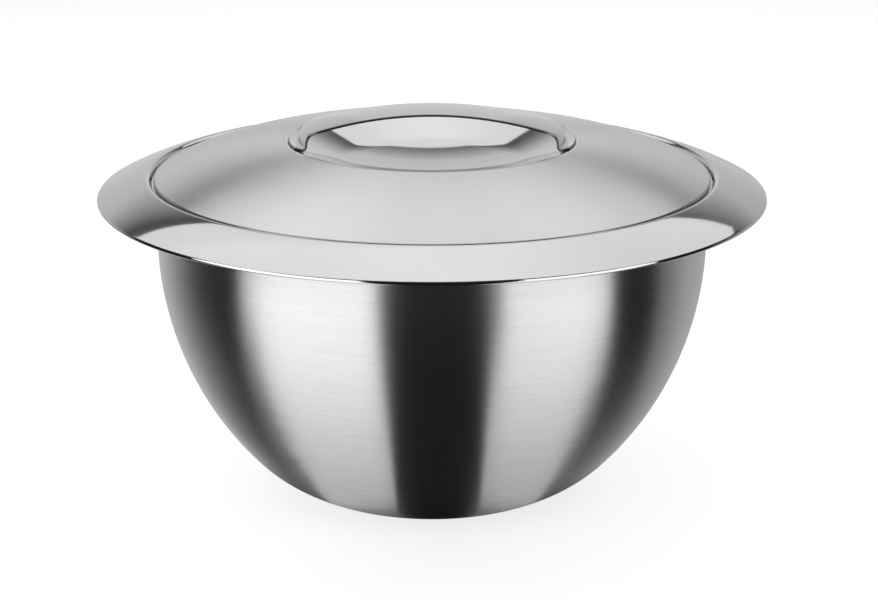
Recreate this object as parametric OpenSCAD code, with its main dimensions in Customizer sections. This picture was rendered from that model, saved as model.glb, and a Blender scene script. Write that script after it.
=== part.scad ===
// Insulated stainless bowl with a domed lid, seat and strap handle.
// Millimetres, +Z up, origin on the table under the middle of the base.

/* [Bowl] */
// Outside diameter of the bowl wall at its top
bowl_d = 244.4; // [225:0.1:260]
// Height of the rim's outer edge above the table
rim_h = 138; // [128:1:150]
// Upright length of wall below the rim's edge
upright_h = 22; // [12:1:30]
// Diameter at which the base's curve leaves the table
base_d = 82.3; // [70:0.1:95]
// Radius that turns the base into the side
base_arc_r = 60; // [50:1:68]
// Sheet thickness of both bowls
shell_t = 0.7; // [0.5:0.1:0.8]
// Foam space between the two bowls
wall_gap = 6.6; // [5:0.1:9]

/* [Rim] */
// How far the crest stands outside the bowl wall
crest_out = 4.1; // [3:0.1:6]
// Width of the rim outside its crest
rim_w = 20.7; // [16:0.1:26]
// Height of the crest above the rim's edge
crest_rise = 8.4; // [7:0.1:10]
// Radius of the rim's crown, seen in section
rim_arc_r = 100; // [60:1:200]
// Radius with which the rim rolls over its crest
crest_roll_r = 2.5; // [1.5:0.1:3]
// Slope of the wall that drops from the crest to the seat, in degrees
drop_slope = 60; // [50:1:75]
// Thickness of the folded edge
hem_h = 1.9; // [1.7:0.1:2.6]
// Length of the fold
hem_len = 4; // [2:0.1:6]
// Height of the lid's seat above the rim's edge
seat_rise = 5.9; // [5:0.1:6.5]
// Radius of the mouth's edge
mouth_round = 2; // [1:0.1:2.5]

/* [Lid] */
// Clearance round the lid's edge at the seat
lid_gap = 0.8; // [0.3:0.1:1.2]
// Sheet thickness of the lid's top
lid_t = 0.7; // [0.5:0.1:0.8]
// Thickness of the lid's folded edge
lid_edge_h = 2; // [1.8:0.1:2.6]
// Length of the lid's fold
lid_fold = 3.4; // [2:0.1:4]
// Height of the recess's lip above the lid's edge
lid_rise = 13.6; // [10:0.1:20]
// Radius of the dome, seen in section
dome_arc_r = 150; // [100:1:250]
// Sheet thickness of the pan that closes the lid
pan_t = 0.6; // [0.5:0.1:0.7]
// How far the pan hangs below the seat
pan_drop = 12; // [8:0.1:20]
// Radius of the pan's bottom corner
pan_round = 4; // [2:0.1:6]
// Space between the pan's wall and the mouth
pan_gap = 1.6; // [1.2:0.1:3]
// Height of the seal
seal_h = 8; // [5:0.1:9]

/* [Recess] */
// Diameter of the recess across its lip
recess_d = 129; // [115:1:140]
// Radius with which the lip rolls into the recess
lip_roll_r = 2.6; // [1.5:0.1:4]
// Depth of the recess below its lip
recess_depth = 14.3; // [13:0.1:16]
// Radius of the recess's floor, seen in section
dish_floor_r = 160; // [140:1:200]
// Diameter of the recess's floor
dish_floor_d = 70.5; // [60:0.5:80]
// Radius that turns the floor up into the recess's wall
dish_round_r = 50; // [40:1:58]

/* [Handle] */
// Height of the strap's crown above the lip
strap_arch = 13.5; // [10:0.1:20]
// Radius of the strap's arch
strap_arc_r = 195; // [150:1:300]
// Width of the strap at its crown
strap_w = 26.8; // [18:0.1:34]
// Radius of the strap's hollowed sides
strap_side_r = 315; // [200:1:600]
// Sheet thickness of the strap
strap_t = 1; // [0.8:0.1:1.5]
// Width of the web between the end of a finger opening and the foot
web_w = 5; // [3:0.1:8]
// Corner radius of the finger openings
opening_round = 6; // [3:0.1:9]
// Bend radius at the strap's shoulders
shoulder_r = 4.5; // [3:0.1:5.5]
// Slope of the strap's legs, in degrees
leg_slope = 74; // [62:1:80]
// Distance from the lip's crest to the foot of each leg
foot_inset = 5; // [4:0.1:7]
// Length of each foot, turned outwards up the recess's wall
foot_len = 4; // [3:0.1:4.5]
// Bend radius between a leg and its foot
foot_round = 1.2; // [0.8:0.1:1.6]
// Thickness of the doubling plates behind the feet
doubler_t = 0.8; // [0.6:0.1:1]

/* [Base] */
// Width of the flat ring that the bowl stands on
foot_w = 4; // [3:0.1:8]
// Height of the raised panel inside the foot ring
panel_h = 1.2; // [1:0.1:2]
// Thickness of the base disc
disc_t = 0.8; // [0.6:0.1:0.9]
// Diameter of the foam-filling hole
fill_d = 12; // [8:0.1:16]

/* [Hidden] */
$fn = 128;

// Steps along a long arc and along a small one
long_steps = 14;
short_steps = 6;
// Clearance between pieces that are fitted together
fit = 0.2;
// Clearance of a running or lifting fit
lift_gap = 0.3;
// Gap that the weld closes under each strap foot
weld_gap = 0.1;
// Overrun of a cut past the face that it opens
over = 1;
// Points of a path closer than this are one point
point_tol = fit / 100;

// Bowl
bowl_r = bowl_d / 2;
base_c = [base_d / 2, base_arc_r];
belly_w = bowl_r - base_c.x;
belly_h = rim_h - upright_h - base_arc_r;
// The side's arc is upright at its top and runs into the base's arc
side_arc_r = (pow(belly_w, 2) + pow(belly_h, 2) - pow(base_arc_r, 2)) / (2 * (belly_w - base_arc_r));
side_c = [bowl_r - side_arc_r, rim_h - upright_h];
turn_a = heading(side_c, base_c);
inner_inset = 2 * shell_t + wall_gap;
mouth_r = bowl_r - inner_inset;
disc_r = base_c.x - foot_w;
panel_slope_w = panel_h;

// Rim
crest_r = bowl_r + crest_out;
seat_z = rim_h + seat_rise;
roll_c = [crest_r, rim_h + crest_rise - crest_roll_r];
hem_c = [crest_r + rim_w - hem_h / 2, rim_h];
rim_c = meet(roll_c, rim_arc_r - crest_roll_r, hem_c, rim_arc_r - hem_h / 2);
drop_a = 90 + drop_slope;
drop_top = roll_c + crest_roll_r * dir(drop_a);
seat_r = drop_top.x - (drop_top.y - seat_z) / tan(drop_slope);

// Lid top
lid_r = seat_r - lid_gap;
lid_hem_c = [lid_r - lid_edge_h / 2, seat_z + lid_edge_h / 2];
lip_z = seat_z + lid_edge_h + lid_rise;
lip_c = [recess_d / 2, lip_z - lip_roll_r];
dome_c = meet(lip_c, dome_arc_r - lip_roll_r, lid_hem_c, dome_arc_r - lid_edge_h / 2);
// The recess's floor rounds up into a conical wall, which touches the round and the lip
dish_c = [0, lip_z - recess_depth + dish_floor_r];
floor_a = -acos(dish_floor_d / 2 / dish_floor_r);
round_c = dish_c + (dish_floor_r - dish_round_r) * dir(floor_a);
wall_a = heading(round_c, lip_c) + asin((dish_round_r + lip_roll_r) / norm(lip_c - round_c));
wall_low = round_c + dish_round_r * dir(wall_a - 90);
wall_high = lip_c + lip_roll_r * dir(wall_a + 90);

// Pan and seal
plug_r = mouth_r - pan_gap;
pan_z = seat_z - pan_drop;
pan_flange_z = seat_z + lid_t;
pan_edge_r = lid_hem_c.x - pan_t;
pan_neck_round = pan_t + fit;
seal_body_t = pan_gap / 2;
seal_rib_r = pan_gap / 4;
rib_facets = 24;
rib_shares = [0.55, 0.8];
seal_top_z = pan_flange_z - pan_neck_round;

// Strap
strap_c = [0, lip_z + strap_arch - strap_arc_r];
foot_r = recess_d / 2 - foot_inset;
// The corner where the top faces of leg and foot would meet
foot = [foot_r, wall_high.y - (wall_high.x - foot_r) * tan(wall_a) + (weld_gap + strap_t) / cos(wall_a)];
leg_up = [-cos(leg_slope), sin(leg_slope)];
leg_in = [-sin(leg_slope), -cos(leg_slope)];
foot_turn = 180 - leg_slope - wall_a;
foot_bend_c = foot + foot_round * tan(90 - foot_turn / 2) * leg_up - foot_round * leg_in;
shoulder_base = foot + shoulder_r * leg_in;
shoulder_c = shoulder_base + reach(shoulder_base, leg_up, strap_c, strap_arc_r - shoulder_r) * leg_up;
opening_end = foot_r - web_w;
opening_c = [0, -strap_w / 2 - strap_side_r];
corner_x = opening_end - opening_round;
corner_c = [corner_x, opening_c.y + sqrt(pow(strap_side_r - opening_round, 2) - pow(corner_x, 2))];
corner_a = heading(opening_c, corner_c);
opening_far = recess_d / 2;

// Doubling plates
doubler_w = 2 * foot_inset;
doubler_half_a = acos(opening_end / foot_r);

// Plug
barb_r = fill_d / 2 + 2 * shell_t;
barb_h = 3 * shell_t;

// A direction in section, from its angle
function dir(a) = [cos(a), sin(a)];

// The angle of the line from p to q
function heading(p, q) = atan2(q.y - p.y, q.x - p.x);

// The lower of the two points that lie rp from p and rq from q
function meet(p, rp, q, rq) =
    let (d = norm(q - p), along = (rp * rp - rq * rq + d * d) / (2 * d), u = (q - p) / d)
    p + along * u - sqrt(rp * rp - along * along) * [-u.y, u.x];

// How far from p along u a point lies at distance r from c
function reach(p, u, c, r) =
    let (b = u * (p - c))
    -b + sqrt(b * b - (p - c) * (p - c) + r * r);

// Points on an arc
function arc(c, r, a0, a1, steps) =
    [for (i = [0 : steps]) c + r * dir(a0 + (a1 - a0) * i / steps)];

// Points on a straight line
function line(p, q, steps) = [for (i = [0 : steps]) p + (q - p) * i / steps];

function reversed(p) = [for (i = [len(p) - 1 : -1 : 0]) p[i]];

// A path without the points that repeat the one before
function tidy(p) = [for (i = [0 : len(p) - 1])
    if (i == 0 || norm(p[i] - p[max(i - 1, 0)]) > point_tol) p[i]];

// A path moved to its left by d, with mitred corners, and kept off the far side of the axis
function shifted(path, d) =
    let (p = tidy(path), last = len(p) - 1)
    [for (i = [0 : last])
        let (
            before = i > 0 ? p[i] - p[i - 1] : p[1] - p[0],
            after = i < last ? p[i + 1] - p[i] : p[last] - p[last - 1],
            a = before / norm(before),
            b = after / norm(after),
            m = [-(a + b).y, (a + b).x],
            q = p[i] + d * m / (m * [-a.y, a.x])
        )
        [max(q.x, 0), q.y]];

// The section of a sheet of thickness t whose show face is the path
function sheet(p, t) = concat(tidy(p), reversed(shifted(p, t)));

// The bowl's curve, set in from the outside by inset, from the base's flat up to top_z
function bowl_curve(inset, top_z) = concat(
    arc(base_c, base_arc_r - inset, -90, turn_a, long_steps),
    arc(side_c, side_arc_r - inset, turn_a, 0, long_steps),
    [[bowl_r - inset, top_z]]);

// The outside of the outer bowl, from the filling hole to the top
outer_path = concat(
    [[fill_d / 2, panel_h], [disc_r + fit, panel_h], [disc_r + fit + panel_slope_w, 0]],
    bowl_curve(0, seat_z - shell_t));

// The inner bowl's show face, from the end of the hem over the rim and down to the middle
rim_path = concat(
    let (hem_a = heading(rim_c, hem_c), start = hem_c - hem_h / 2 * dir(hem_a))
    concat(
        [start - hem_len * dir(hem_a - 90)],
        arc(hem_c, hem_h / 2, hem_a - 180, hem_a, short_steps),
        arc(rim_c, rim_arc_r, hem_a, heading(rim_c, roll_c), short_steps)),
    arc(roll_c, crest_roll_r, heading(rim_c, roll_c), drop_a, short_steps),
    [[seat_r, seat_z]],
    arc([mouth_r + mouth_round, seat_z - mouth_round], mouth_round, 90, 180, short_steps));
cavity_path = concat(rim_path, reversed(bowl_curve(inner_inset, rim_h)), [[0, inner_inset]]);

// The lid's show face, from the end of its fold over the dome and into the recess
dome_path = concat(
    arc(dome_c, dome_arc_r, heading(dome_c, lid_hem_c), heading(dome_c, lip_c), long_steps),
    arc(lip_c, lip_roll_r, heading(dome_c, lip_c), 90 + wall_a, short_steps));
dish_path = reversed(concat(
    arc(dish_c, dish_floor_r, -90, floor_a, short_steps),
    arc(round_c, dish_round_r, floor_a, wall_a - 90, short_steps),
    line(wall_low, wall_high, long_steps)));
lid_path = concat(
    [[lid_hem_c.x - lid_fold, seat_z]],
    arc(lid_hem_c, lid_edge_h / 2, -90, heading(dome_c, lid_hem_c), short_steps),
    dome_path,
    dish_path);

// The pan's underside, from its middle to its edge
pan_path = concat(
    [[0, pan_z]],
    arc([plug_r - pan_round, pan_z + pan_round], pan_round, -90, 0, short_steps),
    reversed(arc([plug_r + pan_neck_round, pan_flange_z - pan_neck_round], pan_neck_round, 90, 180,
        short_steps)),
    [[pan_edge_r, pan_flange_z]]);

// The strap's top face, from the foot's end up the leg and over the shoulder to the crown
strap_path = concat(
    [foot + foot_len * dir(wall_a)],
    arc(foot_bend_c, foot_round, wall_a - 90, -90 - leg_slope, short_steps),
    arc(shoulder_c, shoulder_r, 90 - leg_slope, heading(strap_c, shoulder_c), short_steps),
    arc(strap_c, strap_arc_r, heading(strap_c, shoulder_c), 90, long_steps));

// The satin outer bowl, with its raised base panel and filling hole
module outer_shell() {
    color("silver")
        rotate_extrude()
            polygon(sheet(outer_path, shell_t));
}

// The food bowl, pressed in one with the polished rim and the lid's seat
module inner_bowl() {
    color("gainsboro")
        rotate_extrude()
            polygon(sheet(cavity_path, shell_t));
}

// The foam liner between the bowls, hollowed for the plug's barb
module bowl_insulation() {
    top_z = seat_z - shell_t - mouth_round;
    outside = shifted(bowl_curve(0, top_z), shell_t + fit);
    inside = shifted(reversed(bowl_curve(inner_inset, top_z)), shell_t + fit);
    floor_z = panel_h + shell_t + fit;
    color("khaki")
        difference() {
            rotate_extrude()
                intersection() {
                    polygon(concat([[0, 0]], outside, inside, [[0, inner_inset - shell_t - fit]]));
                    translate([0, floor_z])
                        square([bowl_r, top_z]);
                }
            translate([0, 0, floor_z - over])
                cylinder(r = barb_r + fit, h = barb_h + 2 * over);
        }
}

// The plug that snaps into the filling hole
module fill_plug() {
    snap_z = panel_h + shell_t + fit / 2;
    color("dimgray")
        rotate_extrude()
            polygon([[0, panel_h], [fill_d / 2 - fit / 2, panel_h], [fill_d / 2 - fit / 2, snap_z],
                [barb_r, snap_z], [barb_r, snap_z + barb_h / 3], [fill_d / 2 - fit, snap_z + barb_h],
                [0, snap_z + barb_h]]);
}

// The pressed disc that covers the plug
module base_disc() {
    edge = disc_t / 4;
    color("silver")
        rotate_extrude()
            polygon([[0, panel_h - disc_t], [disc_r - edge, panel_h - disc_t],
                [disc_r, panel_h - disc_t + edge], [disc_r, panel_h], [0, panel_h]]);
}

// The satin dome and the polished recess, one pressing with a folded edge
module lid_top() {
    color("lightgray")
        rotate_extrude()
            polygon(sheet(lid_path, lid_t));
}

// The pan that closes the lid from below
module lid_pan() {
    color("silver")
        rotate_extrude()
            polygon(sheet(pan_path, pan_t));
}

// The foam that fills the pan up to the dome and the recess
module lid_insulation() {
    foam_r = plug_r - pan_t - fit;
    ceiling = shifted(concat(dome_path, dish_path), lid_t + doubler_t + 2 * fit);
    floor_path = shifted(pan_path, pan_t + fit);
    color("khaki")
        rotate_extrude()
            intersection() {
                polygon(concat(ceiling, [[0, floor_path[0].y]], floor_path));
                square([foam_r, lip_z]);
            }
}

// The soft ring round the pan's wall, with two ribs towards the mouth
module lid_seal() {
    rib_x = mouth_r - lift_gap - seal_rib_r;
    color("whitesmoke")
        rotate_extrude() {
            translate([plug_r, seal_top_z - seal_h])
                square([seal_body_t, seal_h]);
            for (share = rib_shares)
                translate([rib_x, seal_top_z - share * seal_h])
                    circle(r = seal_rib_r, $fn = rib_facets);
        }
}

// One finger opening, seen from above, on the near side
module finger_opening() {
    polygon(concat(
        [[opening_far, -opening_far], [opening_far, corner_c.y]],
        arc(corner_c, opening_round, 0, corner_a, short_steps),
        arc(opening_c, strap_side_r, corner_a, 180 - corner_a, long_steps),
        arc([-corner_c.x, corner_c.y], opening_round, 180 - corner_a, 180, short_steps),
        [[-opening_far, corner_c.y], [-opening_far, -opening_far]]));
}

// The polished strap, arched over the recess, waisted by the finger openings and turned out at its feet
module handle_strap() {
    color("gainsboro")
        difference() {
            rotate_extrude()
                polygon(sheet(strap_path, strap_t));
            for (side = [0, 180])
                rotate([0, 0, side])
                    translate([0, 0, lip_z - recess_depth])
                        linear_extrude(height = recess_depth + strap_arch + over)
                            finger_opening();
        }
}

// The two plates behind the recess, where the strap's feet are welded
module strap_doublers() {
    back = [for (p = shifted(dish_path, lid_t + fit)) if (abs(p.x - foot_r) < doubler_w) p];
    color("gray")
        for (side = [0, 180])
            rotate([0, 0, side - doubler_half_a])
                rotate_extrude(angle = 2 * doubler_half_a)
                    polygon(sheet(back, doubler_t));
}

outer_shell();
inner_bowl();
bowl_insulation();
fill_plug();
base_disc();
lid_top();
lid_pan();
lid_insulation();
lid_seal();
handle_strap();
strap_doublers();
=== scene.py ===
"""Looks of an insulated steel bowl with a domed lid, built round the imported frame. Metres, +Z up."""

import math

import bmesh
import bpy
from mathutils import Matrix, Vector


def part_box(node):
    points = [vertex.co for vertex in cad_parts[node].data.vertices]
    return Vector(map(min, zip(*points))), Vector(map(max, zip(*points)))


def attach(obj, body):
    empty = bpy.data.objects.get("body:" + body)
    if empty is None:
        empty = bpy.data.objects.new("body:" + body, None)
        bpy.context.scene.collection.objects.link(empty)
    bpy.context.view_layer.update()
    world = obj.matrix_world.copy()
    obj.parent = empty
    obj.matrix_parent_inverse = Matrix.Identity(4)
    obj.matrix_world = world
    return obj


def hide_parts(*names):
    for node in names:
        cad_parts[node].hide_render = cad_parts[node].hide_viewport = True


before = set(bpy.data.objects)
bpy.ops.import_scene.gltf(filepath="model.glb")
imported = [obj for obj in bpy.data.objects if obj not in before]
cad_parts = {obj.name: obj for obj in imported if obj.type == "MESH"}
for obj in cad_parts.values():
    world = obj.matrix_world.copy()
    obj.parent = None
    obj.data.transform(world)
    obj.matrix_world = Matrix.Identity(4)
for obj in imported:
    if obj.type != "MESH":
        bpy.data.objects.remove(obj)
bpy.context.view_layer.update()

MM = 0.001

# Sizes of the bowl, in metres, from the frame where it has them
shell_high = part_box("outer_shell")[1]
rim_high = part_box("inner_bowl")[1]
lid_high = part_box("lid_top")[1]
strap_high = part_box("handle_strap")[1]
disc_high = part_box("base_disc")[1]

BOWL_R = shell_high.x
SHELL_T = 0.7 * MM
WALL_GAP = 6.6 * MM
BASE_R = 41.15 * MM
BASE_ARC_R = 60 * MM
UPRIGHT = 22 * MM
PANEL_H = disc_high.z
DISC_GAP = 0.2 * MM
FILL_R = 6 * MM

RIM_EDGE_R = rim_high.x
HEM_T = 1.9 * MM
HEM_LEN = 4 * MM
SEAT_Z = shell_high.z + SHELL_T
SEAT_RISE = 5.9 * MM
RIM_Z = SEAT_Z - SEAT_RISE
CREST_OUT = 4.1 * MM
CREST_R = BOWL_R + CREST_OUT
CREST_Z = rim_high.z
CREST_ROLL = 2.5 * MM
RIM_ARC_R = 100 * MM
DROP_SLOPE = math.radians(60)
MOUTH_ROUND = 2 * MM

LID_R = lid_high.x
LID_Z = lid_high.z
LID_T = 0.7 * MM
LID_EDGE_T = 2 * MM
LID_FOLD = 3.4 * MM
DOME_ARC_R = 150 * MM
LIP_R = 64.5 * MM
LIP_ROLL = 2.6 * MM
POLISH_OUT = 1.2 * MM
DISH_DEPTH = 14.3 * MM
DISH_FLOOR_R = 160 * MM
DISH_FLOOR_D = 70.5 * MM
DISH_ROUND = 50 * MM

STRAP_TOP = strap_high.z
STRAP_ARC_R = 195 * MM
STRAP_W = 26.8 * MM
STRAP_SIDE_R = 315 * MM
STRAP_T = 1 * MM
FOOT_INSET = 5 * MM
FOOT_R = LIP_R - FOOT_INSET
WEB_W = 5 * MM
CORNER_R = 6 * MM
SHOULDER_R = 4.5 * MM
FOOT_LEN = 4 * MM
FOOT_ROUND = 1.2 * MM
LEG_SLOPE = math.radians(74)
WELD_GAP = 0.1 * MM
STRAP_EDGE_R = 0.18 * MM

# Tones of the steel, and the range that most of a noise texture lies in
STEEL = 0.53
SATIN_LID = 0.62
NOISE_LOW, NOISE_HIGH = 0.3, 0.7

# Camera, fitted to the photograph's ellipses
PHOTO_W = 878
FOCAL_PX = 1609.4
AXIS_PX = 432
CAMERA_AWAY = 0.700
CAMERA_UP = 0.3128
CAMERA_PITCH = math.radians(18.11)

# Studio, in metres from the bowl's axis, with the radiances of its lights
FLOOR_HALF = 6
FLOOR_GLOW = 0.77
FLOOR_DARK, FLOOR_LEFT, FLOOR_RIGHT = 0.016, 0.70, 0.60
DARK_BEHIND, GATE_WIDE = 0.074, 0.07
SHADE_R, SHADE_END_R, SHADE_LEVEL = 0.078, 0.092, 0.15
TOP_WIDE, TOP_DEEP = 2.8, 2.0
TOP_PLACE = (0, 0.60, 1.24)
TOP_TURN = math.radians(8)
TOP_RADIANCE = 1.23
TOP_MIDDLE, TOP_END, TOP_LEFT_END = 1.05, 0.87, 0.97
SIDE_TALL = 0.62
LEFT_INNER, LEFT_OUTER, LEFT_RADIANCE = (-0.333, -0.862), (-0.89, -0.215), 2.2
RIGHT_INNER, RIGHT_OUTER, RIGHT_RADIANCE = (0.424, -0.839), (0.845, -0.295), 1.9
BOARD_LIFT = 0.3 * MM
BOARD_NEAR, BOARD_FAR = 0.5, 2.1
# Outlines of the boards on the floor: along the bowl, out to the box's far end and back
LEFT_BOARD = [
    (-0.018, -0.085), (-0.048, -0.056), (-0.058, -0.064), (-0.068, -0.072), (-0.085, -0.081),
    (-0.107, -0.091), (-0.140, -0.103), (-0.180, -0.117), (-0.280, -0.145), (-0.480, -0.175),
    (-0.900, -0.215), LEFT_INNER, (-0.172, -0.496), (-0.071, -0.250), (-0.034, -0.145)]
RIGHT_BOARD = [
    (0.025, -0.085), (0.046, -0.150), (0.082, -0.239), (0.223, -0.490), RIGHT_INNER,
    RIGHT_OUTER, (0.420, -0.182), (0.280, -0.150), (0.179, -0.123), (0.140, -0.109),
    (0.107, -0.095), (0.085, -0.083), (0.068, -0.072), (0.058, -0.064), (0.048, -0.056)]

# Fineness of the round pieces
TURN_STEPS = 256
ARC_STEP = math.radians(0.9)
INSIDE_STEP = 1.8 * ARC_STEP
ROLL_STEP = math.radians(9)
FLAT_STEP = 2.5 * MM
STRAP_COLUMNS = 28
HALVINGS = 40
SAME_POINT = 2e-6
SHARP_EDGE = math.radians(40)


# Plane geometry of a section, as (radius, height)

def toward(angle):
    return Vector((math.cos(angle), math.sin(angle)))


def heading(a, b):
    return math.atan2(b.y - a.y, b.x - a.x)


def meet(a, ra, b, rb):
    """The lower of the two points that lie ra from a and rb from b."""
    span = b - a
    far = span.length
    along = (ra * ra - rb * rb + far * far) / (2 * far)
    u = span / far
    return a + along * u - math.sqrt(ra * ra - along * along) * Vector((-u.y, u.x))


def reach(start, u, centre, radius):
    """How far from start along u a point lies at that radius from centre."""
    b = u.dot(start - centre)
    return -b + math.sqrt(b * b - (start - centre).length_squared + radius * radius)


def arc(centre, radius, a0, a1, step=ARC_STEP):
    count = max(2, math.ceil(abs(a1 - a0) / step))
    return [centre + radius * toward(a0 + (a1 - a0) * i / count) for i in range(count + 1)]


def straight(a, b, step=FLAT_STEP):
    count = max(1, math.ceil((b - a).length / step))
    return [a + (b - a) * i / count for i in range(count + 1)]


def joined(*runs):
    """One path from several, without the points that repeat."""
    path = []
    for run in runs:
        for p in run:
            if not path or (p - path[-1]).length > SAME_POINT / 2:
                path.append(p)
    return path


def offset(path, d):
    """The path moved to its left by d, with mitred corners, kept off the far side of the axis."""
    out = []
    for i, p in enumerate(path):
        before = (p - path[i - 1]).normalized() if i else (path[1] - p).normalized()
        after = (path[i + 1] - p).normalized() if i < len(path) - 1 else before
        turn = before + after
        left = Vector((-turn.y, turn.x))
        q = p + left * (d / left.dot(Vector((-before.y, before.x))))
        out.append(Vector((max(q.x, 0), q.y)))
    return out


def sheet(path, thickness):
    """The closed section of a sheet whose show face is the path."""
    back = list(reversed(offset(path, thickness)))
    return joined(path, straight(path[-1], back[0]), back, straight(back[-1], path[0]))


# Sections

base_c = Vector((BASE_R, BASE_ARC_R))
belly_w = BOWL_R - BASE_R
side_top = RIM_Z - UPRIGHT
belly_h = side_top - BASE_ARC_R
side_arc_r = (belly_w ** 2 + belly_h ** 2 - BASE_ARC_R ** 2) / (2 * (belly_w - BASE_ARC_R))
side_c = Vector((BOWL_R - side_arc_r, side_top))
turn_a = heading(side_c, base_c)
INSET = 2 * SHELL_T + WALL_GAP

hem_c = Vector((RIM_EDGE_R - HEM_T / 2, RIM_Z))
roll_c = Vector((CREST_R, CREST_Z - CREST_ROLL))
rim_c = meet(roll_c, RIM_ARC_R - CREST_ROLL, hem_c, RIM_ARC_R - HEM_T / 2)

lid_hem_c = Vector((LID_R - LID_EDGE_T / 2, SEAT_Z + LID_EDGE_T / 2))
lip_c = Vector((LIP_R, LID_Z - LIP_ROLL))
dome_c = meet(lip_c, DOME_ARC_R - LIP_ROLL, lid_hem_c, DOME_ARC_R - LID_EDGE_T / 2)
dish_c = Vector((0, LID_Z - DISH_DEPTH + DISH_FLOOR_R))
floor_a = -math.acos(DISH_FLOOR_D / 2 / DISH_FLOOR_R)
round_c = dish_c + (DISH_FLOOR_R - DISH_ROUND) * toward(floor_a)
wall_a = heading(round_c, lip_c) + math.asin((DISH_ROUND + LIP_ROLL) / (lip_c - round_c).length)
wall_low = round_c + DISH_ROUND * toward(wall_a - math.pi / 2)
wall_high = lip_c + LIP_ROLL * toward(wall_a + math.pi / 2)


def bowl_curve(inset, top_z, step=ARC_STEP):
    top = Vector((BOWL_R - inset, side_top))
    return joined(
        arc(base_c, BASE_ARC_R - inset, -math.pi / 2, turn_a, step),
        arc(side_c, side_arc_r - inset, turn_a, 0, step),
        straight(top, Vector((BOWL_R - inset, top_z))))


def shell_path():
    disc_r = disc_high.x + DISC_GAP
    return joined(
        straight(Vector((FILL_R, PANEL_H)), Vector((disc_r, PANEL_H))),
        straight(Vector((disc_r, PANEL_H)), Vector((disc_r + PANEL_H, 0)), PANEL_H / 4),
        straight(Vector((disc_r + PANEL_H, 0)), Vector((BASE_R, 0)), FLAT_STEP / 4),
        bowl_curve(0, SEAT_Z - SHELL_T))


def rim_path():
    """From the end of the hem over the rim, down to the seat and on to the cavity's middle."""
    hem_a = heading(rim_c, hem_c)
    start = hem_c - HEM_T / 2 * toward(hem_a)
    drop_a = math.pi / 2 + DROP_SLOPE
    drop_top = roll_c + CREST_ROLL * toward(drop_a)
    seat = Vector((drop_top.x - (drop_top.y - SEAT_Z) / math.tan(DROP_SLOPE), SEAT_Z))
    mouth = Vector((BOWL_R - INSET + MOUTH_ROUND, SEAT_Z - MOUTH_ROUND))
    over_crest = heading(rim_c, roll_c)
    return joined(
        straight(start - HEM_LEN * toward(hem_a - math.pi / 2), start),
        arc(hem_c, HEM_T / 2, hem_a - math.pi, hem_a, ROLL_STEP),
        arc(rim_c, RIM_ARC_R, hem_a, over_crest, ARC_STEP / 3),
        arc(roll_c, CREST_ROLL, over_crest, drop_a, ROLL_STEP / 2),
        straight(drop_top, seat, FLAT_STEP / 4),
        straight(seat, mouth + Vector((0, MOUTH_ROUND))),
        arc(mouth, MOUTH_ROUND, math.pi / 2, math.pi, ROLL_STEP),
        list(reversed(bowl_curve(INSET, SEAT_Z - MOUTH_ROUND, INSIDE_STEP))),
        straight(Vector((BASE_R, INSET)), Vector((0, INSET))))


def lid_path():
    """From the end of the lid's fold over the dome and the lip to the dish's middle."""
    edge_a = heading(dome_c, lid_hem_c)
    lip_a = heading(dome_c, lip_c)
    return joined(
        straight(Vector((lid_hem_c.x - LID_FOLD, SEAT_Z)), Vector((lid_hem_c.x, SEAT_Z))),
        arc(lid_hem_c, LID_EDGE_T / 2, -math.pi / 2, edge_a, ROLL_STEP),
        arc(dome_c, DOME_ARC_R, edge_a, lip_a, ARC_STEP / 2),
        arc(lip_c, LIP_ROLL, lip_a, math.pi / 2 + wall_a, ROLL_STEP / 3),
        list(reversed(joined(
            arc(dish_c, DISH_FLOOR_R, -math.pi / 2, floor_a, ARC_STEP / 2),
            arc(round_c, DISH_ROUND, floor_a, wall_a - math.pi / 2, ARC_STEP),
            straight(wall_low, wall_high)))))


# Meshes

def mesh_object(name, verts, edges, faces):
    mesh = bpy.data.meshes.new(name)
    mesh.from_pydata([tuple(v) for v in verts], edges, faces)
    mesh.update()
    obj = bpy.data.objects.new(name, mesh)
    bpy.context.scene.collection.objects.link(obj)
    return obj


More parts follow.
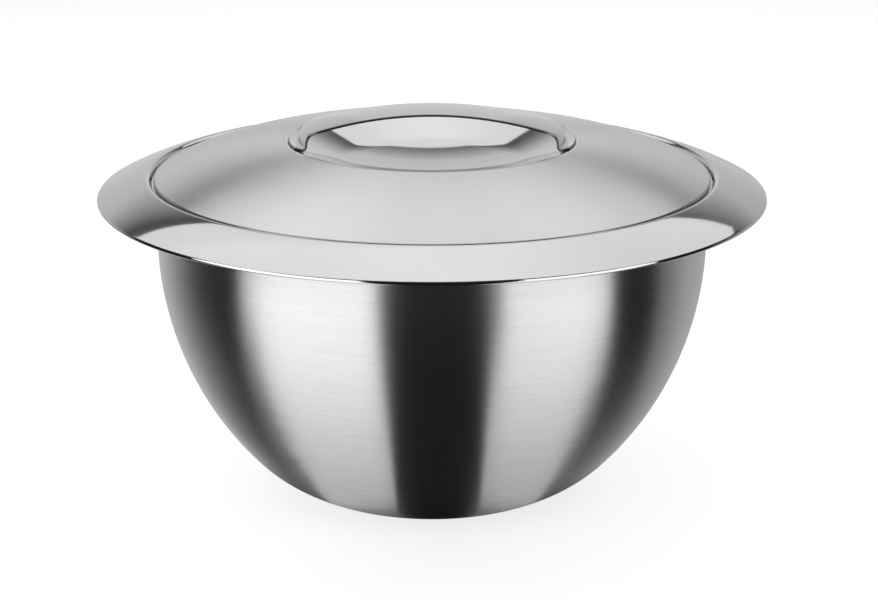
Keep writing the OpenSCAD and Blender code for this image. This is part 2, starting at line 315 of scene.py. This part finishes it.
def spin_tree():
    """A tree that turns a section, given as a chain of points, into a closed skin round Z."""
    tree = bpy.data.node_groups.new("spun_section", "GeometryNodeTree")
    face = tree.interface
    face.new_socket("Section", in_out="INPUT", socket_type="NodeSocketGeometry")
    face.new_socket("Points", in_out="INPUT", socket_type="NodeSocketInt")
    face.new_socket("Turn Steps", in_out="INPUT", socket_type="NodeSocketInt")
    face.new_socket("Weld Distance", in_out="INPUT", socket_type="NodeSocketFloat")
    face.new_socket("Skin", in_out="INPUT", socket_type="NodeSocketMaterial")
    face.new_socket("Geometry", in_out="OUTPUT", socket_type="NodeSocketGeometry")
    nodes, links = tree.nodes, tree.links

    def node(kind, **values):
        made = nodes.new(kind)
        for key, value in values.items():
            setattr(made, key, value)
        return made

    def math_node(operation, a, b=None):
        made = node("ShaderNodeMath", operation=operation)
        for socket, value in zip(made.inputs, (a, b)):
            if isinstance(value, (int, float)):
                socket.default_value = value
            elif value is not None:
                links.new(value, socket)
        return made.outputs[0]

    given = node("NodeGroupInput")
    grid = node("GeometryNodeMeshGrid")
    around = math_node("ADD", given.outputs["Turn Steps"], 1)
    links.new(around, grid.inputs["Vertices X"])
    links.new(given.outputs["Points"], grid.inputs["Vertices Y"])
    index = node("GeometryNodeInputIndex").outputs[0]
    column = math_node("FLOOR", math_node("DIVIDE", index, given.outputs["Points"]))
    row = math_node("MODULO", index, given.outputs["Points"])
    picked = node("GeometryNodeSampleIndex", data_type="FLOAT_VECTOR", domain="POINT")
    links.new(given.outputs["Section"], picked.inputs["Geometry"])
    links.new(node("GeometryNodeInputPosition").outputs[0], picked.inputs["Value"])
    links.new(row, picked.inputs["Index"])
    split = node("ShaderNodeSeparateXYZ")
    links.new(picked.outputs[0], split.inputs[0])
    turn = math_node("DIVIDE", math_node("MULTIPLY", column, 2 * math.pi), given.outputs["Turn Steps"])
    place = node("ShaderNodeCombineXYZ")
    links.new(math_node("MULTIPLY", split.outputs["X"], math_node("COSINE", turn)), place.inputs["X"])
    links.new(math_node("MULTIPLY", split.outputs["X"], math_node("SINE", turn)), place.inputs["Y"])
    links.new(split.outputs["Z"], place.inputs["Z"])
    moved = node("GeometryNodeSetPosition")
    links.new(grid.outputs["Mesh"], moved.inputs["Geometry"])
    links.new(place.outputs[0], moved.inputs["Position"])
    welded = node("GeometryNodeMergeByDistance")
    links.new(moved.outputs[0], welded.inputs["Geometry"])
    links.new(given.outputs["Weld Distance"], welded.inputs["Distance"])
    real = node("GeometryNodeRealizeInstances")
    links.new(welded.outputs[0], real.inputs[0])
    painted = node("GeometryNodeSetMaterial")
    links.new(real.outputs[0], painted.inputs["Geometry"])
    links.new(given.outputs["Skin"], painted.inputs["Material"])
    result = node("NodeGroupOutput")
    links.new(painted.outputs[0], result.inputs[0])
    return tree


def spun(name, section, tree, material):
    """The section turned round Z, as a plain mesh with its faces outwards."""
    chain = [(p.x, 0, p.y) for p in section]
    source = mesh_object(name + "_section", chain, [(i, i + 1) for i in range(len(chain) - 1)], [])
    modifier = source.modifiers.new("spin", "NODES")
    modifier.node_group = tree
    values = {"Points": len(chain), "Turn Steps": TURN_STEPS, "Weld Distance": SAME_POINT, "Skin": material}
    for item in tree.interface.items_tree:
        if item.item_type == "SOCKET" and item.in_out == "INPUT" and item.name in values:
            modifier[item.identifier] = values[item.name]
    bpy.context.view_layer.update()
    graph = bpy.context.evaluated_depsgraph_get()
    mesh = bpy.data.meshes.new_from_object(source.evaluated_get(graph))
    source.modifiers.remove(modifier)
    bpy.data.objects.remove(source)
    mesh.name = name
    mesh.materials.clear()
    mesh.materials.append(material)
    mesh.polygons.foreach_set("material_index", [0] * len(mesh.polygons))
    obj = bpy.data.objects.new(name, mesh)
    bpy.context.scene.collection.objects.link(obj)
    finish_faces(obj)
    return obj


def finish_faces(obj):
    """Closes doubles, points the faces outwards and shades them smooth up to sharp edges."""
    work = bmesh.new()
    work.from_mesh(obj.data)
    bmesh.ops.remove_doubles(work, verts=work.verts, dist=SAME_POINT)
    bmesh.ops.dissolve_degenerate(work, edges=work.edges, dist=SAME_POINT / 20)
    bmesh.ops.recalc_face_normals(work, faces=work.faces)
    work.to_mesh(obj.data)
    work.free()
    obj.data.polygons.foreach_set("use_smooth", [True] * len(obj.data.polygons))
    obj.data.set_sharp_from_angle(angle=SHARP_EDGE)


# Strap: a cap of revolution over the recess, trimmed to a waisted band with turned-out feet

def strap_heights():
    """The strap's top face as (radius, height), from the middle out to the end of the foot."""
    strap_c = Vector((0, STRAP_TOP - STRAP_ARC_R))
    foot_z = wall_high.y - (wall_high.x - FOOT_R) * math.tan(wall_a) + (WELD_GAP + STRAP_T) / math.cos(wall_a)
    foot = Vector((FOOT_R, foot_z))
    leg_up = Vector((-math.cos(LEG_SLOPE), math.sin(LEG_SLOPE)))
    leg_in = Vector((-math.sin(LEG_SLOPE), -math.cos(LEG_SLOPE)))
    base = foot + SHOULDER_R * leg_in
    shoulder = base + reach(base, leg_up, strap_c, STRAP_ARC_R - SHOULDER_R) * leg_up
    crown = arc(strap_c, STRAP_ARC_R, math.pi / 2, heading(strap_c, shoulder), ARC_STEP / 2)
    bend = arc(shoulder, SHOULDER_R, heading(strap_c, shoulder), math.pi / 2 - LEG_SLOPE, ROLL_STEP / 2)
    ankle_c = foot + FOOT_ROUND * math.tan((LEG_SLOPE + wall_a) / 2) * leg_up - FOOT_ROUND * leg_in
    ankle = arc(ankle_c, FOOT_ROUND, -math.pi / 2 - LEG_SLOPE, wall_a - math.pi / 2, ROLL_STEP)
    leg = straight(bend[-1], ankle[0], FLAT_STEP / 5)
    toe = foot + FOOT_LEN * toward(wall_a)
    return joined(crown, bend, leg, ankle, straight(ankle[-1], toe, FLAT_STEP / 5))


def strap_half_width(x):
    """Half the strap's width at x, out through the openings' rounded corners."""
    side_y = STRAP_W / 2 + STRAP_SIDE_R
    corner_x = FOOT_R - WEB_W - CORNER_R
    corner_y = side_y - math.sqrt((STRAP_SIDE_R - CORNER_R) ** 2 - corner_x ** 2)
    touch_x = corner_x * STRAP_SIDE_R / (STRAP_SIDE_R - CORNER_R)
    x = abs(x)
    if x < touch_x:
        return side_y - math.sqrt(STRAP_SIDE_R ** 2 - x * x)
    if x < FOOT_R - WEB_W:
        return corner_y - math.sqrt(CORNER_R ** 2 - (x - corner_x) ** 2)
    return corner_y


def strap_mesh(name):
    """The top face in rows across, straight in the middle and bowed like the lip at the feet."""
    profile = strap_heights()
    rows = []
    for p in profile:
        bow = (p.x / FOOT_R) ** 2 / FOOT_R if p.x < FOOT_R else 1 / p.x
        low, high = 0.0, FOOT_R
        for _ in range(HALVINGS):
            y = (low + high) / 2
            x = p.x - row_sag(bow, y)
            inside = y < strap_half_width(x)
            low, high = (y, high) if inside else (low, y)
        rows.append((p.x, bow, low))
    stations = [(-r[0], r[1], r[2]) for r in reversed(rows[1:])] + rows
    verts, faces = [], []
    for x0, bow, half in stations:
        for j in range(STRAP_COLUMNS + 1):
            y = half * (2 * j / STRAP_COLUMNS - 1)
            x = math.copysign(abs(x0) - row_sag(bow, abs(y)), x0)
            verts.append((x, y, height_at(profile, math.hypot(x, y))))
    for i in range(len(stations) - 1):
        for j in range(STRAP_COLUMNS):
            a = i * (STRAP_COLUMNS + 1) + j
            b = a + STRAP_COLUMNS + 1
            faces.append((a, b, b + 1, a + 1))
    return mesh_object(name, verts, [], faces)


def row_sag(bow, y):
    """How far a row that bows with curvature bow falls back at y."""
    return 0.0 if bow < 1e-9 else 1 / bow - math.sqrt(max(1 / bow ** 2 - y * y, 0))


def height_at(profile, radius):
    for a, b in zip(profile, profile[1:]):
        if a.x <= radius <= b.x:
            return a.y + (b.y - a.y) * (radius - a.x) / (b.x - a.x)
    return profile[-1].y


# Materials

def new_material(name):
    material = bpy.data.materials.new(name)
    material.use_nodes = True
    material.node_tree.nodes.clear()
    return material


class Shader:
    """Short calls for building one material's nodes."""

    def __init__(self, tree):
        self.nodes, self.links = tree.nodes, tree.links

    def add(self, kind, **values):
        made = self.nodes.new(kind)
        for key, value in values.items():
            setattr(made, key, value)
        return made

    def feed(self, socket, value):
        if isinstance(value, bpy.types.NodeSocket):
            self.links.new(value, socket)
        else:
            socket.default_value = value

    def calc(self, operation, *values):
        made = self.add("ShaderNodeMath", operation=operation)
        for socket, value in zip(made.inputs, values):
            self.feed(socket, value)
        return made.outputs[0]

    def vector(self, x, y, z):
        made = self.add("ShaderNodeCombineXYZ")
        for socket, value in zip(made.inputs, (x, y, z)):
            self.feed(socket, value)
        return made.outputs[0]

    def grooves(self, east, north, across, around_scale, across_scale):
        """A place for noise that runs in circles: stretched round the axis, fine across."""
        return self.vector(self.calc("MULTIPLY", east, around_scale),
                           self.calc("MULTIPLY", north, around_scale),
                           self.calc("MULTIPLY", across, across_scale))

    def noise(self, vector, scale, detail, roughness=0.5):
        made = self.add("ShaderNodeTexNoise")
        self.feed(made.inputs["Vector"], vector)
        self.feed(made.inputs["Scale"], scale)
        self.feed(made.inputs["Detail"], detail)
        self.feed(made.inputs["Roughness"], roughness)
        return made.outputs["Fac"]

    def ramp(self, value, low, high, out_low, out_high):
        made = self.add("ShaderNodeMapRange")
        for socket, x in zip(made.inputs, (value, low, high, out_low, out_high)):
            self.feed(socket, x)
        return made.outputs["Result"]

    def spread(self, noise, out_low, out_high):
        """A noise texture's usual range, spread from one value to another."""
        return self.ramp(noise, NOISE_LOW, NOISE_HIGH, out_low, out_high)

    def blend(self, factor, first, second):
        made = self.add("ShaderNodeMix", data_type="RGBA")
        self.feed(made.inputs["Factor"], factor)
        self.feed(made.inputs["A"], first)
        self.feed(made.inputs["B"], second)
        return made.outputs["Result"]

    def bump(self, height, strength, distance):
        made = self.add("ShaderNodeBump")
        made.inputs["Strength"].default_value = strength
        made.inputs["Distance"].default_value = distance
        self.feed(made.inputs["Height"], height)
        return made.outputs["Normal"]

    def output(self, surface):
        self.feed(self.add("ShaderNodeOutputMaterial").inputs["Surface"], surface)

    def round_place(self):
        """The point's own radius, height, and unit direction from the axis."""
        place = self.add("ShaderNodeTexCoord").outputs["Object"]
        split = self.add("ShaderNodeSeparateXYZ")
        self.feed(split.inputs[0], place)
        x, y, z = split.outputs
        radius = self.calc("SQRT", self.calc("ADD", self.calc("MULTIPLY", x, x), self.calc("MULTIPLY", y, y)))
        radius = self.calc("MAXIMUM", radius, 1e-5)
        return place, radius, z, self.calc("DIVIDE", x, radius), self.calc("DIVIDE", y, radius)


def brushed_round(name, colour, roughness, anisotropy, groove_along, grain=0.09):
    """Steel brushed in circles round the axis. groove_along is the coordinate that crosses the grooves."""
    material = new_material(name)
    s = Shader(material.node_tree)
    place, radius, height, east, north = s.round_place()
    across = radius if groove_along == "radius" else height
    # Fine scratches are short arcs, and broad ones are longer and softer
    fine = s.noise(s.grooves(east, north, across, 9, 2200), 1.0, 3.0, 0.6)
    broad = s.noise(s.grooves(east, north, across, 2.2, 900), 1.0, 3.0)
    cloud = s.noise(place, 14.0, 2.0)
    shader = s.add("ShaderNodeBsdfPrincipled")
    tone = s.calc("ADD", s.calc("MULTIPLY", fine, 0.6), s.calc("MULTIPLY", broad, 0.4))
    dark, light = colour * (1 - grain), colour * (1 + grain)
    tint = s.blend(s.spread(tone, 0.0, 1.0), (dark, dark, colour * (0.995 - grain), 1),
                   (light, light, colour * (0.995 + grain), 1))
    s.feed(shader.inputs["Base Color"], tint)
    shader.inputs["Metallic"].default_value = 1.0
    s.feed(shader.inputs["Roughness"],
           s.calc("ADD", s.spread(fine, roughness - 0.03, roughness + 0.03),
                  s.spread(cloud, -0.015, 0.015)))
    shader.inputs["Anisotropic"].default_value = anisotropy
    # The highlight spreads across the grooves, so the tangent lies along the section
    ring = s.vector(s.calc("MULTIPLY", north, -1.0), east, 0.0)
    normal = s.add("ShaderNodeNewGeometry").outputs["Normal"]
    cross = s.add("ShaderNodeVectorMath", operation="CROSS_PRODUCT")
    s.feed(cross.inputs[0], ring)
    s.feed(cross.inputs[1], normal)
    s.feed(shader.inputs["Tangent"], cross.outputs[0])
    s.feed(shader.inputs["Normal"], s.bump(fine, 0.25, 0.04 * MM))
    s.output(shader.outputs[0])
    return material


def polished(name, colour, roughness, frost=None):
    """Mirror polish with faint buffing marks. frost is the radius where it meets a satin face."""
    material = new_material(name)
    s = Shader(material.node_tree)
    place, radius, _, east, north = s.round_place()
    haze = s.noise(place, 30.0, 3.0)
    marks = s.noise(s.grooves(east, north, radius, 3, 900), 1.0, 2.0)
    shader = s.add("ShaderNodeBsdfPrincipled")
    tint = s.blend(s.spread(haze, 0.0, 1.0), (colour * 0.98, colour * 0.98, colour * 0.975, 1),
                   (colour * 1.02, colour * 1.02, colour * 1.015, 1))
    s.feed(shader.inputs["Base Color"], tint)
    shader.inputs["Metallic"].default_value = 1.0
    rough = s.calc("ADD", s.spread(haze, roughness * 0.8, roughness * 1.2),
                   s.ramp(marks, 0.4, 0.7, 0.0, 0.012))
    if frost:
        rough = s.calc("ADD", rough, s.ramp(radius, frost - 0.2 * MM, frost + 1.4 * MM, 0.0, 0.25))
    s.feed(shader.inputs["Roughness"], rough)
    s.feed(shader.inputs["Normal"], s.bump(haze, 0.05, 0.1 * MM))
    s.output(shader.outputs[0])
    return material


def moulded(name, dark, light, roughness, grain):
    """A plain moulded or foamed surface with its own grain."""
    material = new_material(name)
    s = Shader(material.node_tree)
    place = s.add("ShaderNodeTexCoord").outputs["Object"]
    specks = s.noise(place, grain, 4.0, 0.6)
    patches = s.noise(place, grain / 20, 2.0)
    shader = s.add("ShaderNodeBsdfPrincipled")
    mottle = s.calc("MULTIPLY", s.spread(specks, 0.4, 1.0), s.spread(patches, 0.6, 1.0))
    s.feed(shader.inputs["Base Color"], s.blend(mottle, (*dark, 1), (*light, 1)))
    s.feed(shader.inputs["Roughness"], s.spread(specks, roughness - 0.06, roughness + 0.06))
    s.feed(shader.inputs["Normal"], s.bump(specks, 0.4, 0.05 * MM))
    s.output(shader.outputs[0])
    return material


# Dark steel for the strap's thin edges: painted shade, standing in for the dark they reflect
painted_shade_edge = polished("painted_shade_edge", 0.16, 0.3)
# Darker steel for the lid's hem: painted shade for the dark line at the lid's edge
painted_shade_hem = polished("painted_shade_hem", 0.3, 0.2)
satin_wall = brushed_round("satin_wall", STEEL, 0.33, 1.0, "height")
satin_dome = brushed_round("satin_dome", SATIN_LID, 0.34, 0.9, "radius", grain=0.03)
satin_base = brushed_round("satin_base", STEEL, 0.34, 0.8, "radius")
mirror_steel = polished("mirror_steel", STEEL, 0.06)
mirror_dish = polished("mirror_dish", STEEL, 0.06, frost=LIP_R)
mill_steel = brushed_round("mill_steel", STEEL * 0.9, 0.42, 0.6, "radius")
foam = moulded("foam", (0.70, 0.60, 0.36), (0.88, 0.80, 0.56), 0.9, 900)
plug_plastic = moulded("plug_plastic", (0.03, 0.03, 0.032), (0.06, 0.06, 0.062), 0.5, 1500)
seal_silicone = moulded("seal_silicone", (0.66, 0.66, 0.64), (0.82, 0.82, 0.80), 0.45, 700)


# Pieces

def paint_lid(lid):
    """The dish gets its mirror polish, up to the lip, and the hem a darker steel that is painted shade for
    the gap at the lid's edge.
    """
    lid.data.materials.append(mirror_dish)
    lid.data.materials.append(painted_shade_hem)
    for face in lid.data.polygons:
        out_r = face.center.xy.length
        if out_r < LIP_R + POLISH_OUT and face.center.z > LID_Z - DISH_DEPTH - LID_T / 2:
            face.material_index = 1
        elif out_r > LID_R - LID_EDGE_T / 2:
            face.material_index = 2


def thicken_strap(strap):
    """Gives the strap its sheet thickness, with rounded edges in a dark steel that is painted shade."""
    strap.data.materials.append(mirror_steel)
    strap.data.materials.append(painted_shade_edge)
    solid = strap.modifiers.new("sheet", "SOLIDIFY")
    solid.thickness = STRAP_T
    solid.offset = -1
    solid.material_offset_rim = 1
    edges = strap.modifiers.new("edges", "BEVEL")
    edges.width = STRAP_EDGE_R
    edges.material = 1
    edges.segments = 3
    edges.limit_method = "ANGLE"
    edges.angle_limit = math.radians(50)
    bpy.context.view_layer.update()
    graph = bpy.context.evaluated_depsgraph_get()
    finished = bpy.data.meshes.new_from_object(strap.evaluated_get(graph))
    strap.modifiers.clear()
    strap.data = finished
    finish_faces(strap)


def paint_carried():
    """Finishes for the pieces that come straight from the frame."""
    for node_name, material in {
            "bowl_insulation": foam, "lid_insulation": foam, "fill_plug": plug_plastic,
            "base_disc": satin_base, "lid_pan": mill_steel, "lid_seal": seal_silicone,
            "strap_doublers": mill_steel}.items():
        node_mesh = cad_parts[node_name].data
        node_mesh.materials.clear()
        node_mesh.materials.append(material)


spin = spin_tree()

shell = spun("bowl_wall", sheet(shell_path(), SHELL_T), spin, satin_wall)
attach(shell, "bowl")
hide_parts("outer_shell")

rim = spun("polished_rim", sheet(rim_path(), SHELL_T), spin, mirror_steel)
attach(rim, "bowl")
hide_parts("inner_bowl")

lid = spun("lid_dome", sheet(lid_path(), LID_T), spin, satin_dome)
paint_lid(lid)
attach(lid, "lid")
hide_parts("lid_top")

strap = strap_mesh("strap")
thicken_strap(strap)
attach(strap, "lid")
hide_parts("handle_strap")

paint_carried()


# Studio

def camera():
    data = bpy.data.cameras.new("camera")
    data.sensor_fit = "HORIZONTAL"
    data.sensor_width = 36
    data.lens = FOCAL_PX * data.sensor_width / PHOTO_W
    data.shift_x = (PHOTO_W / 2 - AXIS_PX) / PHOTO_W
    data.clip_start, data.clip_end = 0.05, 50
    obj = bpy.data.objects.new("camera", data)
    obj.location = (0, -CAMERA_AWAY, CAMERA_UP)
    obj.rotation_euler = (math.pi / 2 - CAMERA_PITCH, 0, 0)
    bpy.context.scene.collection.objects.link(obj)
    bpy.context.scene.camera = obj


def softbox(name, centre, aim, width, depth, radiance):
    data = bpy.data.lights.new(name, "AREA")
    data.shape = "RECTANGLE"
    data.size, data.size_y = width, depth
    data.energy = radiance * width * depth * math.pi
    obj = bpy.data.objects.new(name, data)
    obj.location = centre
    obj.rotation_euler = (Vector(aim) - Vector(centre)).to_track_quat("-Z", "Y").to_euler()
    bpy.context.scene.collection.objects.link(obj)
    return obj


def top_box():
    """The big box above, whose far edge the dish mirrors. It is brightest over its middle."""
    x, y = TOP_PLACE[:2]
    box = softbox("top_box", TOP_PLACE, (x, y, 0), TOP_WIDE, TOP_DEEP, TOP_RADIANCE)
    box.rotation_euler.z = TOP_TURN
    box.data.use_nodes = True
    s = Shader(box.data.node_tree)
    split = s.add("ShaderNodeSeparateXYZ")
    s.feed(split.inputs[0], s.add("ShaderNodeNewGeometry").outputs["Parametric"])
    aside = s.ramp(split.outputs[0], 0.0, 1.0, -TOP_WIDE / 2, TOP_WIDE / 2)
    back = s.ramp(split.outputs[1], 0.0, 1.0, y - TOP_DEEP / 2, y + TOP_DEEP / 2)
    across = s.calc("MINIMUM", s.ramp(aside, 0.0, 0.65, TOP_MIDDLE, TOP_END),
                    s.ramp(aside, -0.7, 0.0, TOP_LEFT_END, TOP_MIDDLE))
    level = s.calc("MINIMUM", across, s.ramp(back, 0.8, 1.2, TOP_MIDDLE, TOP_END))
    glow = next(n for n in s.nodes if n.type == "EMISSION")
    s.feed(glow.inputs["Strength"], level)


def side_box(name, inner, outer, radiance):
    """A tall box that stands on the floor between two points."""
    inner, outer = Vector((*inner, 0)), Vector((*outer, 0))
    middle = (inner + outer) / 2 + Vector((0, 0, SIDE_TALL / 2))
    along = (outer - inner).normalized()
    face = Vector((along.y, -along.x, 0))
    if face.dot(middle) > 0:
        face = -face
    softbox(name, middle, middle + face, (outer - inner).length, SIDE_TALL, radiance)


def mirrored_floor(s, radius, east, north):
    """What metal sees of the floor: dark in front, and pale from some way behind the bowl's sides."""

    def sides(left, right):
        return s.ramp(east, -0.3, 0.3, left, right)

    # The dark part's edge leans back, and its place is a share of the radius
    lean = sides(s.ramp(radius, 0.2, 0.5, 0.13, 0.34), s.ramp(radius, 0.11, 0.18, -0.09, 0.0))
    edge = s.calc("MULTIPLY", s.calc("ABSOLUTE", east), lean)
    behind = s.calc("ADD", s.calc("SUBTRACT", north, edge), s.calc("DIVIDE", DARK_BEHIND, radius))
    # On the right the dark part ends in a sharper edge
    gate = sides(-0.06, s.ramp(radius, 0.11, 0.18, 0.05, 0.185))
    level = s.calc("MINIMUM", s.ramp(behind, -0.051, 0.60, FLOOR_DARK, sides(FLOOR_LEFT, FLOOR_RIGHT)),
                   s.ramp(behind, gate, s.calc("ADD", gate, GATE_WIDE), FLOOR_DARK, FLOOR_LEFT))
    # It is dim under the bowl and brightest just outside its shade
    close_by = sides(1.3, 1.05)
    near = s.calc("MINIMUM", s.ramp(radius, SHADE_R, SHADE_END_R, SHADE_LEVEL, close_by),
                  s.ramp(radius, 0.1, 0.35, close_by, 1.0))
    mirrored = s.add("ShaderNodeEmission")
    s.feed(mirrored.inputs["Strength"], s.calc("MULTIPLY", level, near))
    return mirrored


def floor_paper(s, place, seen):
    """White paper that keeps the bowl's shadow."""
    paper = s.add("ShaderNodeBsdfDiffuse")
    tint = s.blend(s.noise(place, 400.0, 3.0), (0.42, 0.42, 0.42, 1), (0.44, 0.44, 0.44, 1))
    s.feed(paper.inputs["Color"], tint)
    white = s.add("ShaderNodeEmission")
    s.feed(white.inputs["Strength"], s.calc("MULTIPLY", seen, FLOOR_GLOW))
    lifted = s.add("ShaderNodeAddShader")
    s.feed(lifted.inputs[0], paper.outputs[0])
    s.feed(lifted.inputs[1], white.outputs[0])
    return lifted


def floor_material():
    material = new_material("floor_paper")
    s = Shader(material.node_tree)
    place, radius, _, east, north = s.round_place()
    path = s.add("ShaderNodeLightPath")
    seen = s.calc("MAXIMUM", path.outputs["Is Camera Ray"], path.outputs["Is Transmission Ray"])
    both = s.add("ShaderNodeMixShader")
    s.feed(both.inputs[0], path.outputs["Is Glossy Ray"])
    s.feed(both.inputs[1], floor_paper(s, place, seen).outputs[0])
    s.feed(both.inputs[2], mirrored_floor(s, radius, east, north).outputs[0])
    s.output(both.outputs[0])
    return material


def floor():
    corners = [(-FLOOR_HALF, -FLOOR_HALF, 0), (FLOOR_HALF, -FLOOR_HALF, 0),
               (FLOOR_HALF, FLOOR_HALF, 0), (-FLOOR_HALF, FLOOR_HALF, 0)]
    obj = mesh_object("floor", corners, [], [(0, 1, 2, 3)])
    obj.data.materials.append(floor_material())


def bounce_board(name, level, corners):
    """A white board on the floor before a side box, which only the metal sees."""
    material = new_material(name)
    s = Shader(material.node_tree)
    radius = s.round_place()[1]
    glow = s.add("ShaderNodeEmission")
    s.feed(glow.inputs["Strength"], s.ramp(radius, 0.06, 0.32, BOARD_NEAR * level, BOARD_FAR * level))
    s.output(glow.outputs[0])
    lifted = [(x, y, BOARD_LIFT) for x, y in corners]
    obj = mesh_object(name, lifted, [], [tuple(range(len(corners)))])
    obj.data.materials.append(material)
    obj.visible_camera = obj.visible_diffuse = obj.visible_shadow = obj.visible_transmission = False


def studio_world():
    """A white sweep behind, low down, and a dark room above it and on the camera's side."""
    world = bpy.data.worlds.new("studio")
    bpy.context.scene.world = world
    world.use_nodes = True
    world.node_tree.nodes.clear()
    s = Shader(world.node_tree)
    split = s.add("ShaderNodeSeparateXYZ")
    s.feed(split.inputs[0], s.add("ShaderNodeTexCoord").outputs["Generated"])
    x, y, z = split.outputs
    # A level line far behind has one slope, its height over its distance back
    slope = s.calc("DIVIDE", z, s.calc("MAXIMUM", y, 0.05))
    flat = s.calc("SQRT", s.calc("MAXIMUM", s.calc("SUBTRACT", 1.0, s.calc("MULTIPLY", z, z)), 1e-6))
    behind = s.calc("DIVIDE", s.calc("ADD", y, s.calc("MULTIPLY", x, 0.06)), flat)
    aside = s.calc("DIVIDE", s.calc("ABSOLUTE", x), flat)
    sweep = s.calc("MULTIPLY", s.ramp(slope, s.ramp(aside, 0.3, 0.7, 0.28, 0.46), 0.62, 0.9, 0.15),
                   s.ramp(behind, 0.32, 0.62, 0.0, 1.0))
    sweep = s.calc("MULTIPLY", sweep, s.ramp(x, 0.1, 0.6, 1.0, 0.8))
    # The sweep is brightest straight behind
    middle = s.calc("MULTIPLY", s.ramp(slope, 0.42, 0.74, 1.0, 0.12), s.ramp(aside, 0.12, 0.3, 1.0, 0.0))
    middle = s.calc("MULTIPLY", middle, s.calc("GREATER_THAN", y, 0.0))
    level = s.calc("MAXIMUM", s.calc("MAXIMUM", sweep, middle), s.ramp(z, 0.0, 1.0, 0.01, 0.1))
    # Past the floor's far edge the camera sees the floor's own tone go on
    level = s.calc("MAXIMUM", level, s.add("ShaderNodeLightPath").outputs["Is Camera Ray"])
    back = s.add("ShaderNodeBackground")
    s.feed(back.inputs["Strength"], level)
    out = s.add("ShaderNodeOutputWorld")
    s.feed(out.inputs["Surface"], back.outputs[0])


camera()
floor()
studio_world()

# A box above and one on each side of the camera
top_box()
side_box("left_box", LEFT_INNER, LEFT_OUTER, LEFT_RADIANCE)
side_box("right_box", RIGHT_INNER, RIGHT_OUTER, RIGHT_RADIANCE)

bounce_board("left_board", 1.0, LEFT_BOARD)
bounce_board("right_board", 0.88, RIGHT_BOARD)

# The view at its plain settings
bpy.context.scene.view_settings.view_transform = "Standard"
